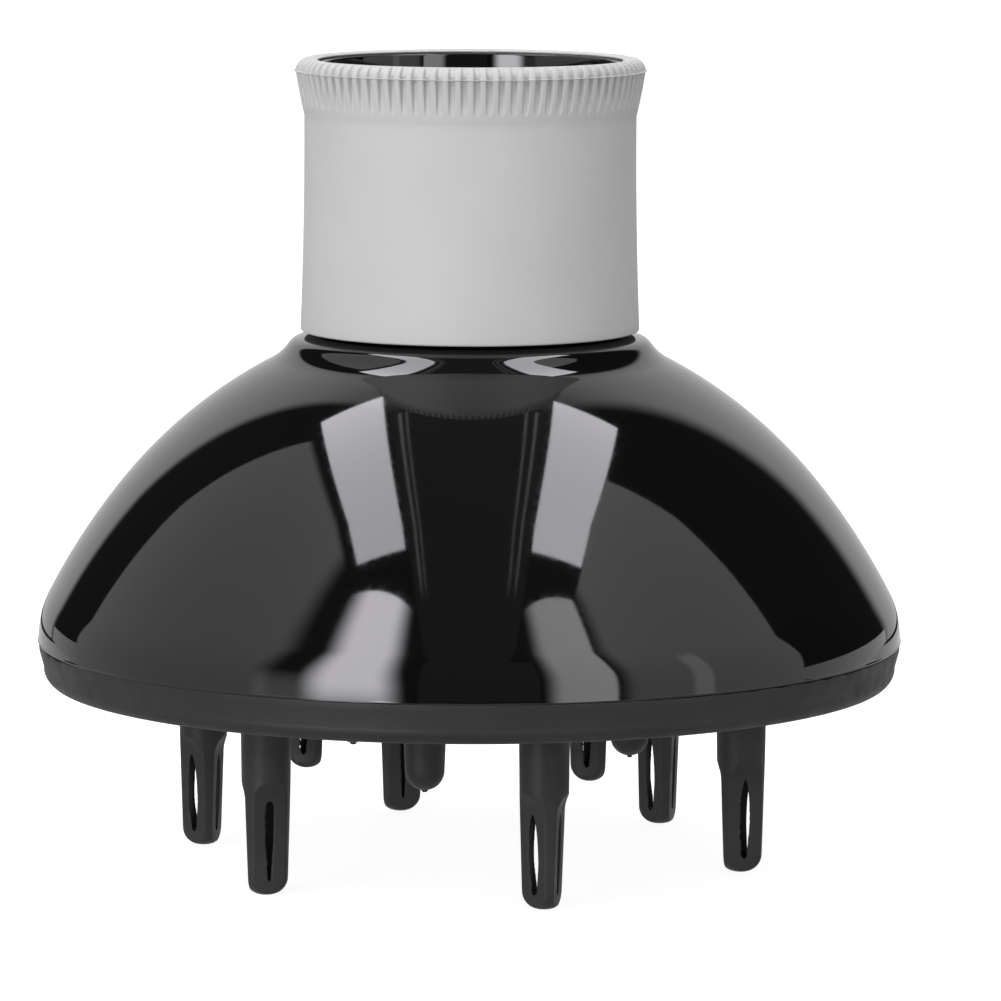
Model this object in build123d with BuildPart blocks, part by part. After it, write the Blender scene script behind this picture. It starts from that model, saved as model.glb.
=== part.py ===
from build123d import *
import os
from math import cos, radians, sin, tan

# Hair-dryer diffuser standing on its long fingers, in millimetres.
# +Z is the axis of the bowl and of the dryer's nozzle, pointing out of the neck.
# The origin is on that axis, in the plane that the long finger tips touch.

# Driving dimensions
HEIGHT = 144.6            # from the long finger tips to the crest of the sleeve's lip
RIM_RADIUS = 77.7         # widest circle, the bowl's rim
SEAM_Z = 40.3             # underside of the bowl's rim
SEAM_GAP = 0.2            # open line between the comb's rim and the bowl's
BOWL_WALL = 2.0

# The bowl's outline is three tangent arcs from the rim inwards: radius and turn in degrees
BOWL_ARCS = ((18.0, 27.0), (115.0, 12.0), (86.0, 23.2))
NECK_FILLET = (9.5, -27.5)      # hollow curve from the bowl up to the neck's shoulder
NECK_SHOULDER = (3.1, 40.3)     # rounded shoulder that goes in under the sleeve

# Neck: the tube that takes the dryer's nozzle
BORE_RADIUS = 26.5
NECK_RADIUS = 27.9
NECK_FOOT_Z = 95.6
NECK_TOP_Z = 143.9
BELL_RADIUS = 5.0         # inner curve from the bowl into the bore
NECK_EDGE = 0.4

# Grip sleeve
SLEEVE_BORE = 28.1
SLEEVE_BOTTOM_Z = 96.0
SLEEVE_BOTTOM_RADIUS = 30.35
SLEEVE_MID_RADIUS = 29.85
SLEEVE_WAIST_RADIUS = 29.65
SLEEVE_MID_Z = 112.0
BAND_BOTTOM_Z = 134.5     # start of the ribbed band
BAND_RADIUS = 31.2        # widest circle of the band
BAND_TOP_Z = 142.5
LIP_CREST_RADIUS = 28.7
LIP_RADIUS = 27.3         # inner edge of the lip, over the neck's top edge
LIP_INNER_Z = 144.1       # underside of the lip, just clear of the neck
SLEEVE_EDGE = 0.9

# Comb: rim band, spigot that centres it in the bowl, and dished finger plate
COMB_RADIUS = 77.5        # the comb's rim at the seam, a little inside the bowl's
RIM_BOTTOM_Z = 33.3
RIM_FOOT_RADIUS = 75.4
SPIGOT_RADIUS = 75.4
SPIGOT_TOP_Z = 44.6
SPIGOT_WALL = 1.6
SPIGOT_POCKET_Z = 45.0    # top of the straight seat inside the bowl's rim
PLATE_EDGE_Z = 35.2       # underside of the plate where it meets the rim
PLATE_RISE = 8.6          # how far the plate's middle stands above its edge
PLATE_THICKNESS = 1.8

# Angles are counted from the front, -Y, towards +X
LONG_PHASE = 15.0         # first long finger
SHORT_PHASE = 45.0        # first slotted short finger; plain ones stand 60 degrees on

# Rings of vent holes: ring radius, hole radius, and angles from each long finger to the next
VENT_ROWS = (
    (65.5, 3.2, (0, 12, 24, 36, 48)),
    (50.3, 3.5, (15, 30, 45)),
    (40.2, 2.7, (0, 20, 40)),
    (30.2, 3.0, (10, 50)),
    (19.0, 2.5, (0, 30)),
    (9.5, 2.4, (0,)),
)
CENTRE_VENT_RADIUS = 2.4

# Fingers. Sixths of a turn hold one long finger and one short finger each.
LONG_RING_RADIUS = 50.3
LONG_ROOT_Z = 37.8
LONG_ROOT_RADIUS = 4.6
LONG_TIP_RADIUS = 3.85
LONG_CORE_RADIUS = 2.4
SHORT_RING_RADIUS = 30.2
SHORT_ROOT_Z = 41.0
SLOTTED_TIP_Z = 17.8
SLOTTED_ROOT_RADIUS = 3.8
SLOTTED_TIP_RADIUS = 3.3
SLOTTED_CORE_RADIUS = 2.05
PLAIN_TIP_Z = 17.4
PLAIN_ROOT_RADIUS = 4.3
PLAIN_TIP_RADIUS = 3.8
PLAIN_CORE_RADIUS = 2.4
PLAIN_CORE_FLOOR = 5.0
GATE_RADIUS = 0.9         # moulding gate left on a plain finger's tip
GATE_HEIGHT = 0.4
TIP_ROUND = 3.1
TIP_SKIN = 1.6            # solid left under a hollow finger's core
CORE_DRAFT = 0.9          # how much wider a core is at the root
FLAT_TIP_DEPTH = 1.05     # how deep each flat is cut into a slotted finger, at its tip
FLAT_TOP_DEPTH = 0.35     # and at the flat's upper end
FLAT_ANGLES = (180, 60, -60)
LONG_FLAT_LENGTH = 19.5
SLOTTED_FLAT_LENGTH = 16.0
SLOT_WIDTH = 2.0
SLOT_FOOT = 3.0           # height of a slot's lower end above the tip
LONG_SLOT_LENGTH = 13.8
SLOTTED_SLOT_LENGTH = 10.5
PAD_MARGIN = 0.5          # how far a finger's pad stands out around its root

os.makedirs("parts", exist_ok=True)


def polar(radius, angle):
    """Point in the XY plane. Angle 0 is the front, -Y, and it grows towards +X."""
    return (radius * sin(radians(angle)), -radius * cos(radians(angle)))


def plate_underside(radius):
    """Height of the dished plate's underside at a radius."""
    edge = SPIGOT_RADIUS - SPIGOT_WALL
    return PLATE_EDGE_Z + PLATE_RISE * (1 - (radius / edge) ** 2)


def bowl_arcs(start_radius, wall):
    """The bowl's three tangent arcs, moved inwards by a wall thickness."""
    arcs = []
    point, heading = (start_radius, SEAM_Z), (0, 1)
    for radius, turn in BOWL_ARCS:
        arc = JernArc(start=point, tangent=heading, radius=radius - wall, arc_size=turn)
        point, heading = arc @ 1, arc % 1
        arcs.append(arc)
    return arcs


# Bowl with its neck: one moulding
with BuildPart() as bowl:
    with BuildSketch(Plane.XZ):
        with BuildLine():
            outer = bowl_arcs(RIM_RADIUS, 0)[-1]
            hollow = JernArc(start=outer @ 1, tangent=outer % 1,
                             radius=NECK_FILLET[0], arc_size=NECK_FILLET[1])
            shoulder = JernArc(start=hollow @ 1, tangent=hollow % 1,
                               radius=NECK_SHOULDER[0], arc_size=NECK_SHOULDER[1])
            inner = bowl_arcs(RIM_RADIUS - BOWL_WALL, BOWL_WALL)[-1]
            slope = sum(turn for _, turn in BOWL_ARCS)
            bell_end = BORE_RADIUS + BELL_RADIUS * (1 - cos(radians(slope)))
            bell_z = (inner @ 1).Y + ((inner @ 1).X - bell_end) / tan(radians(slope))
            bore_foot = bell_z + BELL_RADIUS * sin(radians(slope))
            bell = JernArc(start=(BORE_RADIUS, bore_foot), tangent=(0, -1),
                           radius=BELL_RADIUS, arc_size=slope)
            Line(bell @ 1, inner @ 1)
            Polyline(shoulder @ 1, (NECK_RADIUS, NECK_FOOT_Z), (NECK_RADIUS, NECK_TOP_Z),
                     (BORE_RADIUS, NECK_TOP_Z), (BORE_RADIUS, bore_foot))
            Line((RIM_RADIUS - BOWL_WALL, SEAM_Z), (RIM_RADIUS, SEAM_Z))
        make_face()
    revolve(axis=Axis.Z)
    # straight seat for the comb's spigot
    with BuildSketch(Plane.XY.offset(SEAM_Z)):
        Circle(RIM_RADIUS - BOWL_WALL)
    extrude(amount=SPIGOT_POCKET_Z - SEAM_Z, mode=Mode.SUBTRACT)
    top_edges = bowl.edges().filter_by(GeomType.CIRCLE).group_by(Axis.Z)[-1]
    fillet(top_edges, radius=NECK_EDGE)
bowl.part.label = "bowl"
export_step(bowl.part, "parts/bowl.step")

# Grip sleeve: elastomer collar around the neck, with its lip turned in over the neck's edge
with BuildPart() as grip_sleeve:
    with BuildSketch(Plane.XZ):
        with BuildLine():
            wall = ThreePointArc((SLEEVE_BOTTOM_RADIUS, SLEEVE_BOTTOM_Z),
                                 (SLEEVE_MID_RADIUS, SLEEVE_MID_Z),
                                 (SLEEVE_WAIST_RADIUS, BAND_BOTTOM_Z))
            band = ThreePointArc(wall @ 1,
                                 ((SLEEVE_WAIST_RADIUS + BAND_RADIUS) / 2 + 0.1,
                                  (BAND_BOTTOM_Z + BAND_TOP_Z) / 2),
                                 (BAND_RADIUS, BAND_TOP_Z))
            lip = ThreePointArc(band @ 1,
                                (LIP_CREST_RADIUS + 0.72 * (BAND_RADIUS - LIP_CREST_RADIUS),
                                 HEIGHT - 0.28 * (HEIGHT - BAND_TOP_Z)),
                                (LIP_CREST_RADIUS, HEIGHT))
            curl = ThreePointArc(lip @ 1,
                                 (LIP_RADIUS + 0.3 * (LIP_CREST_RADIUS - LIP_RADIUS),
                                  HEIGHT - 0.3 * (HEIGHT - LIP_INNER_Z)),
                                 (LIP_RADIUS, (HEIGHT + LIP_INNER_Z) / 2))
            Polyline(curl @ 1, (LIP_RADIUS, LIP_INNER_Z), (SLEEVE_BORE, LIP_INNER_Z),
                     (SLEEVE_BORE, SLEEVE_BOTTOM_Z), wall @ 0)
        make_face()
    revolve(axis=Axis.Z)
    fillet(grip_sleeve.edges().group_by(Axis.Z)[0].sort_by(SortBy.RADIUS)[-1], SLEEVE_EDGE)
grip_sleeve.part.label = "grip_sleeve"
export_step(grip_sleeve.part, "parts/grip_sleeve.step")

# Comb plate: rim band, spigot and dished plate with its vents and finger pads
with BuildPart() as comb_plate:
    with BuildSketch(Plane.XZ):
        with BuildLine():
            inside = SPIGOT_RADIUS - SPIGOT_WALL
            rim_side = Line((COMB_RADIUS, SEAM_Z - SEAM_GAP), (COMB_RADIUS - 0.6, RIM_BOTTOM_Z + 2.2))
            rim_round = ThreePointArc(rim_side @ 1, (RIM_FOOT_RADIUS + 1.1, RIM_BOTTOM_Z + 0.5),
                                      (RIM_FOOT_RADIUS, RIM_BOTTOM_Z))
            underside = ThreePointArc((inside, plate_underside(inside)),
                                      (inside / 2, plate_underside(inside / 2)),
                                      (0, plate_underside(0)))
            topside = ThreePointArc((0, plate_underside(0) + PLATE_THICKNESS),
                                    (inside / 2, plate_underside(inside / 2) + PLATE_THICKNESS),
                                    (inside, plate_underside(inside) + PLATE_THICKNESS))
            Polyline(rim_round @ 1, (inside, RIM_BOTTOM_Z), underside @ 0)
            Line(underside @ 1, topside @ 0)
            Polyline(topside @ 1, (inside, SPIGOT_TOP_Z), (SPIGOT_RADIUS, SPIGOT_TOP_Z),
                     (SPIGOT_RADIUS, SEAM_Z - SEAM_GAP), rim_side @ 0)
        make_face()
    revolve(axis=Axis.Z)
    # flat pads that the fingers stand on, up to the plate
    for ring, phase, root, height in (
            (LONG_RING_RADIUS, LONG_PHASE, LONG_ROOT_RADIUS, LONG_ROOT_Z),
            (SHORT_RING_RADIUS, SHORT_PHASE, PLAIN_ROOT_RADIUS, SHORT_ROOT_Z)):
        with BuildSketch(Plane.XY.offset(height)):
            for sixth in range(6):
                with Locations(polar(ring, phase + 60 * sixth)):
                    Circle(root + PAD_MARGIN)
        extrude(amount=plate_underside(ring) + PLATE_THICKNESS / 2 - height)
    # vents, and the openings from the bowl into the hollow fingers
    with BuildSketch(Plane.XY.offset(RIM_BOTTOM_Z)):
        Circle(CENTRE_VENT_RADIUS)
        for ring, hole, angles in VENT_ROWS:
            for sixth in range(6):
                for angle in angles:
                    with Locations(polar(ring, LONG_PHASE + 60 * sixth + angle)):
                        Circle(hole)
        for sixth in range(6):
            with Locations(polar(LONG_RING_RADIUS, LONG_PHASE + 60 * sixth)):
                Circle(LONG_CORE_RADIUS + CORE_DRAFT)
            short_core = PLAIN_CORE_RADIUS if sixth % 2 else SLOTTED_CORE_RADIUS
            with Locations(polar(SHORT_RING_RADIUS, SHORT_PHASE + 60 * sixth)):
                Circle(short_core + CORE_DRAFT)
    extrude(amount=SPIGOT_TOP_Z + PLATE_RISE - RIM_BOTTOM_Z, mode=Mode.SUBTRACT)
comb_plate.part.label = "comb_plate"
export_step(comb_plate.part, "parts/comb_plate.step")


def hollow_finger(tip_z, root_z, tip_radius, root_radius, core_radius, flat_length, slot_length):
    """A slotted finger on the Z axis, its +X side away from the middle of the comb."""
    with BuildPart() as finger:
        with BuildSketch(Plane.XZ):
            with BuildLine():
                tip = RadiusArc((tip_radius - TIP_ROUND, tip_z), (tip_radius, tip_z + TIP_ROUND),
                                -TIP_ROUND)
                Polyline(tip @ 1, (root_radius, root_z), (core_radius + CORE_DRAFT, root_z),
                         (core_radius, tip_z + TIP_SKIN), (0, tip_z + TIP_SKIN),
                         (0, tip_z), tip @ 0)
            make_face()
        revolve(axis=Axis.Z)
        # three flats that follow the taper, each with a slot that is pointed at both ends
        taper = (root_radius - tip_radius) / (root_z - tip_z)
        draft = taper + (FLAT_TIP_DEPTH - FLAT_TOP_DEPTH) / flat_length
        for angle in FLAT_ANGLES:
            outward = (cos(radians(angle)), sin(radians(angle)), -draft)
            sideways = (-sin(radians(angle)), cos(radians(angle)), 0)
            face = Plane(origin=(0, 0, tip_z), x_dir=sideways, z_dir=outward)
            with BuildSketch(face.offset(tip_radius - FLAT_TIP_DEPTH)):
                Rectangle(3 * root_radius, flat_length, align=(Align.CENTER, Align.MIN))
            extrude(amount=root_radius, mode=Mode.SUBTRACT)
            with BuildSketch(face):
                with BuildLine():
                    side = ThreePointArc((0, SLOT_FOOT), (SLOT_WIDTH / 2, SLOT_FOOT + slot_length / 2),
                                         (0, SLOT_FOOT + slot_length))
                    mirror(side, about=Plane.YZ)
                make_face()
            extrude(amount=2 * root_radius, mode=Mode.SUBTRACT)
    return finger.part


def plain_finger():
    """A round-ended finger on the Z axis, with the moulding gate on its tip."""
    with BuildPart() as finger:
        with BuildSketch(Plane.XZ):
            with BuildLine():
                tip = RadiusArc((0, PLAIN_TIP_Z), (PLAIN_TIP_RADIUS, PLAIN_TIP_Z + PLAIN_TIP_RADIUS),
                                -PLAIN_TIP_RADIUS)
                Polyline(tip @ 1, (PLAIN_ROOT_RADIUS, SHORT_ROOT_Z),
                         (PLAIN_CORE_RADIUS + CORE_DRAFT, SHORT_ROOT_Z),
                         (PLAIN_CORE_RADIUS, PLAIN_TIP_Z + PLAIN_CORE_FLOOR),
                         (0, PLAIN_TIP_Z + PLAIN_CORE_FLOOR), tip @ 0)
            make_face()
        revolve(axis=Axis.Z)
        with BuildSketch(Plane.XY.offset(PLAIN_TIP_Z - GATE_HEIGHT)):
            Circle(GATE_RADIUS)
        extrude(amount=PLAIN_TIP_RADIUS)
    return finger.part


def place_finger(shape, ring, angle, name):
    """Moves a finger to its place on the comb, its +X side outwards, and writes it."""
    with BuildPart() as placed:
        with Locations(Location((*polar(ring, angle), 0), (0, 0, angle - 90))):
            add(shape)
    placed.part.label = name
    export_step(placed.part, f"parts/{name}.step")


long_finger = hollow_finger(0, LONG_ROOT_Z, LONG_TIP_RADIUS, LONG_ROOT_RADIUS,
                            LONG_CORE_RADIUS, LONG_FLAT_LENGTH, LONG_SLOT_LENGTH)
slotted_finger = hollow_finger(SLOTTED_TIP_Z, SHORT_ROOT_Z, SLOTTED_TIP_RADIUS,
                               SLOTTED_ROOT_RADIUS, SLOTTED_CORE_RADIUS,
                               SLOTTED_FLAT_LENGTH, SLOTTED_SLOT_LENGTH)
round_finger = plain_finger()
for sixth in range(6):
    place_finger(long_finger, LONG_RING_RADIUS, LONG_PHASE + 60 * sixth,
                 f"long_finger_{sixth + 1}")
for third in range(3):
    place_finger(slotted_finger, SHORT_RING_RADIUS, SHORT_PHASE + 120 * third,
                 f"slotted_finger_{third + 1}")
    place_finger(round_finger, SHORT_RING_RADIUS, SHORT_PHASE + 60 + 120 * third,
                 f"plain_finger_{third + 1}")
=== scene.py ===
import bpy
import bmesh
import numpy as np
from math import cos, hypot, pi, radians, sin, tan
from mathutils import Matrix, Vector, geometry


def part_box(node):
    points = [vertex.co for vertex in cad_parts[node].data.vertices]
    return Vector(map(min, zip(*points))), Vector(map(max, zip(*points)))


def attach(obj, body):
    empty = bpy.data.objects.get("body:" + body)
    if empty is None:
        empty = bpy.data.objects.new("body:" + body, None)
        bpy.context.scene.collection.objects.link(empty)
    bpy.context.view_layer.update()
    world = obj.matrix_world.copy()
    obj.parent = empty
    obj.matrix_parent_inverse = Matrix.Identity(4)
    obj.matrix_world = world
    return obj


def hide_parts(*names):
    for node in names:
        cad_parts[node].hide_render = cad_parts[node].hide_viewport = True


# Dryer diffuser: gloss-black bowl and neck, grey grip sleeve, matte comb with hollow fingers.
# Lengths below are in millimetres and are turned into metres where a mesh is made.
# Angles count from the front, -Y, towards +X.

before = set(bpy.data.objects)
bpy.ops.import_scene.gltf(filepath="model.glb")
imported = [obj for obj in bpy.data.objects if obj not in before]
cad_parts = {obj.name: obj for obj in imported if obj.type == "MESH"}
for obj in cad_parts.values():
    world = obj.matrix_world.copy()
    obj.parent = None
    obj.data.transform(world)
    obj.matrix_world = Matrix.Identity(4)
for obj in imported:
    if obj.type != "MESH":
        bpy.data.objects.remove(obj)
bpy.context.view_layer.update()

MM = 0.001
TURN = 2 * pi


def low(node):
    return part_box(node)[0] / MM


def high(node):
    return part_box(node)[1] / MM


# ---------------------------------------------------------------- driving sizes, from the frame

RIM = high("bowl").x
SEAM_Z = low("bowl").z
NECK_TOP = high("bowl").z
SLEEVE_FOOT = low("grip_sleeve").z
SLEEVE_TOP = high("grip_sleeve").z
BAND = high("grip_sleeve").x
COMB = high("comb_plate").x
COMB_FOOT = low("comb_plate").z
COMB_TOP = high("comb_plate").z
SHORT_TOP = high("plain_finger_1").z
SLOTTED_TIP = low("slotted_finger_1").z
PLAIN_TIP = low("plain_finger_1").z

# ---------------------------------------------------------------- meshes


def piece(name, points, faces, body, slot, *nodes, merge=0.0):
    """Makes a mesh from points in millimetres and lets it ride on a body in place of CAD nodes."""
    mesh = bpy.data.meshes.new(name)
    mesh.from_pydata((np.asarray(points) * MM).tolist(), [], faces)
    work = bmesh.new()
    work.from_mesh(mesh)
    if merge:
        bmesh.ops.remove_doubles(work, verts=work.verts, dist=merge * MM)
    bmesh.ops.recalc_face_normals(work, faces=work.faces)
    work.to_mesh(mesh)
    work.free()
    mesh.polygons.foreach_set("use_smooth", [True] * len(mesh.polygons))
    made = bpy.data.objects.new(name, mesh)
    bpy.context.scene.collection.objects.link(made)
    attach(made, body)
    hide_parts(*nodes)
    return made


def arcs(start, heading, pieces, step=0.5):
    """Points along tangent arcs of (radius, turn). Heading 0 is up, and turns grow towards the axis."""
    radius, z = start
    points = [start]
    for bend, turn in pieces:
        count = max(6, int(bend * abs(radians(turn)) / step))
        small = radians(turn) / count
        for _ in range(count):
            middle = heading + small / 2
            radius -= bend * abs(small) * sin(middle)
            z += bend * abs(small) * cos(middle)
            heading += small
            points.append((radius, z))
    return points


def soften(corners, steps=5):
    """An outline of (radius, z, round) with each round corner turned into a short curve."""
    outline = []
    for index, (x, z, size) in enumerate(corners):
        if not size:
            outline.append((x, z))
            continue
        here = np.array((x, z))
        before = np.array(corners[index - 1][:2]) - here
        after = np.array(corners[(index + 1) % len(corners)][:2]) - here
        reach = min(size, 0.49 * np.linalg.norm(before), 0.49 * np.linalg.norm(after))
        first = here + before / np.linalg.norm(before) * reach
        last = here + after / np.linalg.norm(after) * reach
        for t in np.linspace(0, 1, steps):
            outline.append(tuple((1 - t) ** 2 * first + 2 * t * (1 - t) * here + t * t * last))
    return outline


def plain(points):
    """Outline points that are already smooth, for soften()."""
    return [(x, z, 0) for x, z in points]


def between(start, end, share):
    return start + share * (end - start)


def three_point(a, b, c, count):
    """Points on the arc from a through b to c."""
    (ax, ay), (bx, by), (cx, cy) = a, b, c
    d = 2 * (ax * (by - cy) + bx * (cy - ay) + cx * (ay - by))
    ux = ((ax**2 + ay**2) * (by - cy) + (bx**2 + by**2) * (cy - ay) + (cx**2 + cy**2) * (ay - by)) / d
    uy = ((ax**2 + ay**2) * (cx - bx) + (bx**2 + by**2) * (ax - cx) + (cx**2 + cy**2) * (bx - ax)) / d
    start, end = np.arctan2(ay - uy, ax - ux), np.arctan2(cy - uy, cx - ux)
    turn = (end - start + pi) % TURN - pi
    size = hypot(ax - ux, ay - uy)
    return [(ux + size * cos(start + turn * t), uy + size * sin(start + turn * t))
            for t in np.linspace(0, 1, count)]


def ring_faces(start, rows, segments, closed=False):
    """Quads between rings of points. Closed joins the last ring to the first."""
    faces = []
    for row in range(rows if closed else rows - 1):
        a = start + row * segments
        b = start + (row + 1) % rows * segments
        for k in range(segments):
            n = (k + 1) % segments
            faces.append((a + k, a + n, b + n, b + k))
    return faces


def grid_faces(start, rows, columns):
    """Quads over a grid of points, which are numbered row by row."""
    corners = [start + row * columns + k for row in range(rows - 1) for k in range(columns - 1)]
    return [(here, here + 1, here + columns + 1, here + columns) for here in corners]


def turned(outline, angle, push, closed=True):
    """Points and faces of an outline of (radius, z) turned about the axis, at the given angles.

    push(angle, radius, z) gives how far each point moves outwards and upwards."""
    line = np.asarray(outline, float)
    rows, segments = len(line), len(angle)
    radius = np.repeat(line[:, :1], segments, 1)
    z = np.repeat(line[:, 1:], segments, 1)
    outwards, upwards = push(angle[None, :], radius, z)
    radius = radius + outwards
    z = z + upwards
    points = np.stack([radius * np.sin(angle), -radius * np.cos(angle), z], -1).reshape(-1, 3)
    return points, ring_faces(0, rows, segments, closed)


def steps_round(count):
    return np.arange(count) * TURN / count


def angle_from(angle, degrees):
    """How far each angle is from a direction, in radians."""
    return np.abs((angle - radians(degrees) + pi) % TURN - pi)


def wave(angle, seed, parts=6, first=3):
    """A smooth ragged wave round the axis, about -1 to 1, the same every run."""
    pick = np.random.default_rng(seed)
    total = np.zeros_like(angle)
    for k in range(parts):
        times = first + pick.integers(1, 9) * (k + 1)
        total = total + np.sin(angle * times + pick.uniform(0, TURN)) / (k + 1)
    return total / 1.6


def rise(value, start, end):
    """0 at start, 1 at end, and smooth between."""
    share = np.clip((value - start) / (end - start), 0, 1)
    return share * share * (3 - 2 * share)


def hump(value, centre, width):
    """1 at the centre, and falling away smoothly on both sides."""
    return np.exp(-((value - centre) / width) ** 2)


# ---------------------------------------------------------------- bowl with its neck

BOWL_STEPS = 600
# radius and turn of each tangent arc: the dome from the rim upwards, then the hollow curve and the shoulder
BOWL_ARCS = ((18.0, 27.0), (115.0, 12.0), (86.0, 23.2))
NECK_ARCS = ((9.5, -27.5), (3.1, 40.3))
WALL = 2.0
BORE = 26.5
NECK = 27.9
NECK_FOOT = 95.6
NECK_EDGE = 0.4           # rounding of the neck's edges
BELL = 5.0                # radius of the curve that leads from the dome's inside into the bore
BELL_STEPS = 12
SEAT_TOP = 45.0           # top of the seat for the comb's spigot
SEAT_EDGE = 0.2
FIN = 0.14                # thin moulding fin that stands out in places along the bowl's rim
FIN_Z = 0.22              # its height over the seam
FIN_HALF = 0.08           # half its thickness
FIN_SIDES = 0.9           # its height at the left and right end of the rim, as a share of FIN
FIN_SIDE_POWER = 40       # the higher, the shorter it is there
DRAWN_IN = (1.5, 6.0)     # heights over the seam between which the rim comes back to its full radius
DRAWN_DEPTH = 3.0         # how far in from the rim that reaches, which takes in the whole wall


def make_bowl():
    outer = arcs((RIM, SEAM_Z), 0, BOWL_ARCS + NECK_ARCS)
    outer = [(x, z) for x, z in outer if z > SEAM_Z + 2 * FIN_Z]
    inner = arcs((RIM - WALL, SEAM_Z), 0, [(bend - WALL, turn) for bend, turn in BOWL_ARCS])
    slope = radians(sum(turn for _, turn in BOWL_ARCS))
    end_x, end_z = inner[-1]
    bell_x = BORE + BELL * (1 - cos(slope))
    bell_z = end_z + (end_x - bell_x) / tan(slope)
    bell = [(BORE + BELL * (1 - cos(t)), bell_z + BELL * (sin(slope) - sin(t)))
            for t in np.linspace(0, slope, BELL_STEPS)]
    inner = [(x, z) for x, z in inner if z > SEAT_TOP + SEAT_EDGE]
    fin_rows = [(RIM, SEAM_Z + FIN_Z + shift) for shift in (-FIN_HALF, 0, FIN_HALF)]
    outline = soften(
        plain(fin_rows) + plain(outer)
        + [(NECK, NECK_FOOT, NECK_EDGE), (NECK, NECK_TOP, NECK_EDGE), (BORE, NECK_TOP, NECK_EDGE)]
        + plain(bell) + plain(inner[::-1])
        + [(inner[0][0] - 0.1, SEAT_TOP, SEAT_EDGE), (RIM - WALL, SEAT_TOP, SEAT_EDGE),
           (RIM - WALL, SEAM_Z, SEAT_EDGE), (RIM, SEAM_Z, 0.06)])

    def push(angle, radius, z):
        # the rim is drawn in by the fin's height, and the fin reaches the full radius in places
        wall = radius > RIM - DRAWN_DEPTH
        near_rim = wall * (1 - rise(z, SEAM_Z + DRAWN_IN[0], SEAM_Z + DRAWN_IN[1]))
        patches = np.clip(wave(angle, 21, parts=7, first=11) - 0.1, 0, 1)
        sides = FIN_SIDES * np.abs(np.sin(angle)) ** FIN_SIDE_POWER
        fin = hump(z, SEAM_Z + FIN_Z, 0.7 * FIN_HALF) * np.clip(patches + sides, 0, 1)
        return FIN * near_rim * (fin - 1), 0

    points, faces = turned(outline, steps_round(BOWL_STEPS), push)
    return piece("bowl_shell", points, faces, "bowl", "bowl", "bowl")


# ---------------------------------------------------------------- grip sleeve

RIBS = 88
# points across half a rib, as shares of its pitch: flat crest, steep side, and the groove in the middle
HALF_RIB = (0.10, 0.19, 0.245, 0.28, 0.315, 0.36, 0.42)
RIB_SHARES = (0, *HALF_RIB, 0.5, *(1 - share for share in reversed(HALF_RIB)))
GROOVE_HALF = 0.285       # half of a groove's width, as a share of the pitch
GROOVE_SIDE = 0.12        # how much of the pitch each steep side takes
GROOVE_FLOOR = 30.0       # radius of the grooves' floor, which the waist meets
GROOVE_END = 0.18         # where a groove is shallower than this, it is narrower too
GROOVE_UNEVEN = 0.07      # share by which its depth varies round the band
LIP_GROOVE = 0.9          # depth of the grooves where they turn in over the lip
LIP_GROOVE_END = 0.25     # where they end, as a share of the way from the lip's crest to the band
FLASH = 0.34              # mould line that runs round the band's widest circle
FLASH_HALF = 0.045        # half its thickness
FLASH_SIDE = 0.6          # its height at its two faces, as a share of its full height
FLASH_DIP = 0.10          # how much of a groove's depth it follows
SLEEVE_BORE = 28.1
SLEEVE_EDGE = 0.4         # rounding of the sleeve's foot
LIP = 27.3                # the lip's inner radius
LIP_CREST = 28.7
LIP_FOOT = 144.1
LIP_BULGE = 0.73          # how far the lip's curve bulges towards its outer corner
CURL_BULGE = 0.3          # and how far its inner curve keeps clear of the inner corner
LIP_TORN = 0.10           # how far the lip's inner edge is torn
LIP_TORN_AT = 305         # angle of the torn stretch, and half its width
LIP_TORN_HALF = 28
BAND_FOOT = 134.5
BAND_TOP = 142.5
BAND_BULGE = 0.1          # how far the band's side stands out from a straight line
WAIST = 29.65
SLEEVE_MID = 29.85        # radius and height of a point on the slightly hollow wall
SLEEVE_MID_Z = 112.0
SLEEVE_FOOT_RADIUS = 30.35
OUT_OF_ROUND = 0.05       # how far the soft wall is from round


def rib_angles():
    return np.array([(rib + share) * TURN / RIBS for rib in range(RIBS) for share in RIB_SHARES])


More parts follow.
